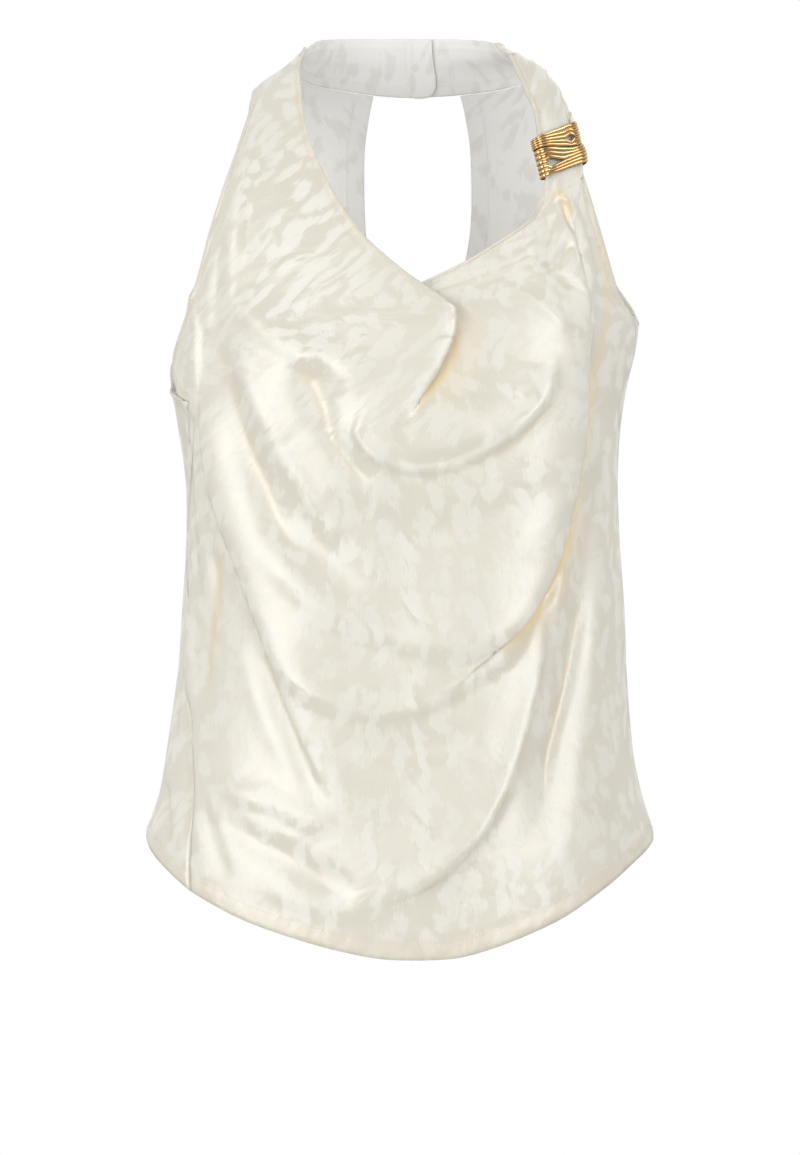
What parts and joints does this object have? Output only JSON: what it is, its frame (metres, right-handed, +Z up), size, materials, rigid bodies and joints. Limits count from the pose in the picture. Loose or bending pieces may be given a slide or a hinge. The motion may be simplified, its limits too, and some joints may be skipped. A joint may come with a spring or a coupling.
{
  "type": "halter neck top",
  "caption": "Sleeveless halter neck top with a draped cowl front, stand neckband, keyhole back and a ribbed slide buckle on one strap, in its worn form.",
  "frame": {"origin": "centre of the neck opening, half way up the neckband at the nape", "axes": "+Z up the body, front towards -Y, +X towards the strap with the buckle"},
  "size_m": [0.3578, 0.2463, 0.6481],
  "materials": {
    "satin_jacquard": "soft satin sheen with a tone on tone woven spot",
    "gold_metal": "polished warm gold plate"
  },
  "bodies": {
    "root": {"front": "satin_jacquard", "back": "satin_jacquard", "neckband_left": "satin_jacquard", "neckband_right": "satin_jacquard", "buckle": "gold_metal"}
  },
  "joints": []
}
